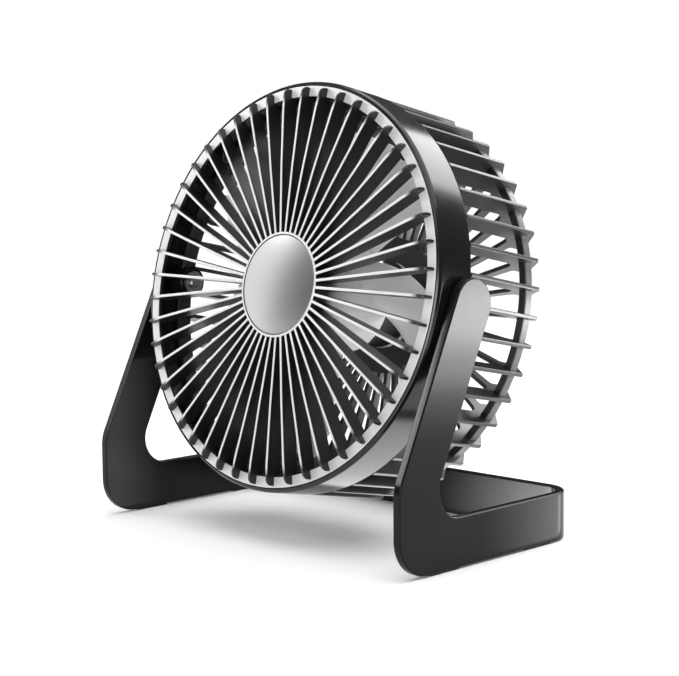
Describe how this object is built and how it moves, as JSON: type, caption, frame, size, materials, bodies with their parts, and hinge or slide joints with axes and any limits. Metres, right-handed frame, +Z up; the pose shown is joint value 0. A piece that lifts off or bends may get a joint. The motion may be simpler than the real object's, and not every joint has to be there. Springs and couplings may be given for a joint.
{
  "type": "desk fan",
  "caption": "Round desk fan: a radial-spoke grille and open finned rear cage on a head that tilts between the arms of a U-shaped stand, with impeller, motor and push button.",
  "frame": {"origin": "on the table, under the middle of the whole fan's box", "axes": "+Z up, the fan blows towards -Y, +X to the right as seen from in front of the fan's back"},
  "size_m": [0.146, 0.0903, 0.1527],
  "materials": {
    "black_plastic": "satin black moulded plastic",
    "silver_grille": "satin silver-grey painted plastic",
    "brushed_disc": "satin aluminium disc, slightly domed",
    "grey_blades": "light grey smooth plastic",
    "rubber": "matt black rubber",
    "steel": "plain steel",
    "brass": "sintered bronze bush",
    "copper": "enamelled copper",
    "ferrite": "dark ferrite and carbon",
    "nylon": "natural nylon",
    "component_black": "black component plastic",
    "lead_red": "red insulation",
    "board": "green circuit board",
    "capacitor_can": "plain aluminium"
  },
  "bodies": {
    "stand": {"stand_frame": "black_plastic", "foot_pad_front_left": "rubber", "foot_pad_front_right": "rubber", "foot_pad_rear_left": "rubber", "foot_pad_rear_right": "rubber", "pivot_stud_left": "steel", "friction_washer_left": "rubber", "spring_washer_left": "steel", "pivot_screw_left": "steel", "pivot_stud_right": "steel", "friction_washer_right": "rubber", "spring_washer_right": "steel", "pivot_screw_right": "steel"},
    "head": {"front_ring": "black_plastic", "front_grille": "silver_grille", "hub_disc": "brushed_disc", "rear_grille": "black_plastic", "housing_screw_1": "steel", "housing_screw_2": "steel", "housing_screw_3": "steel", "housing_screw_4": "steel", "motor_can": "steel", "motor_end_bell": "nylon", "front_bush": "brass", "rear_bush": "brass", "magnet_upper": "ferrite", "magnet_lower": "ferrite", "carbon_brush_left": "ferrite", "carbon_brush_right": "ferrite", "motor_screw_1": "steel", "motor_screw_2": "steel", "motor_lead_red": "lead_red", "motor_lead_black": "component_black", "circuit_board": "board", "switch_housing": "component_black", "speed_chip": "component_black", "capacitor": "capacitor_can", "usb_inlet": "steel", "usb_contact_tongue": "component_black", "rear_cover": "black_plastic", "cover_screw_1": "steel", "cover_screw_2": "steel", "cover_screw_3": "steel"},
    "spinner": {"impeller": "grey_blades", "motor_shaft": "steel", "thrust_washer": "nylon", "commutator": "copper", "armature_core": "steel", "armature_winding_1": "copper", "armature_winding_2": "copper", "armature_winding_3": "copper"},
    "button": {"button_cap": "silver_grille", "switch_plunger": "nylon"}
  },
  "joints": [
    {"name": "head_tilt", "type": "hinge", "parent": "stand", "child": "head", "pos_m": [0, -0.01105, 0.0828], "axis": [1, 0, 0], "continuous": true},
    {"name": "fan_spin", "type": "hinge", "parent": "head", "child": "spinner", "pos_m": [0, -0.01105, 0.0828], "axis": [0, -0.9816, 0.1908], "continuous": true},
    {"name": "speed_button", "type": "slide", "parent": "head", "child": "button", "axis": [0, -0.9816, 0.1908], "range_m": [0, 0.0004], "stiffness_N_per_m": 2500, "springref_m": -0.0004}
  ]
}
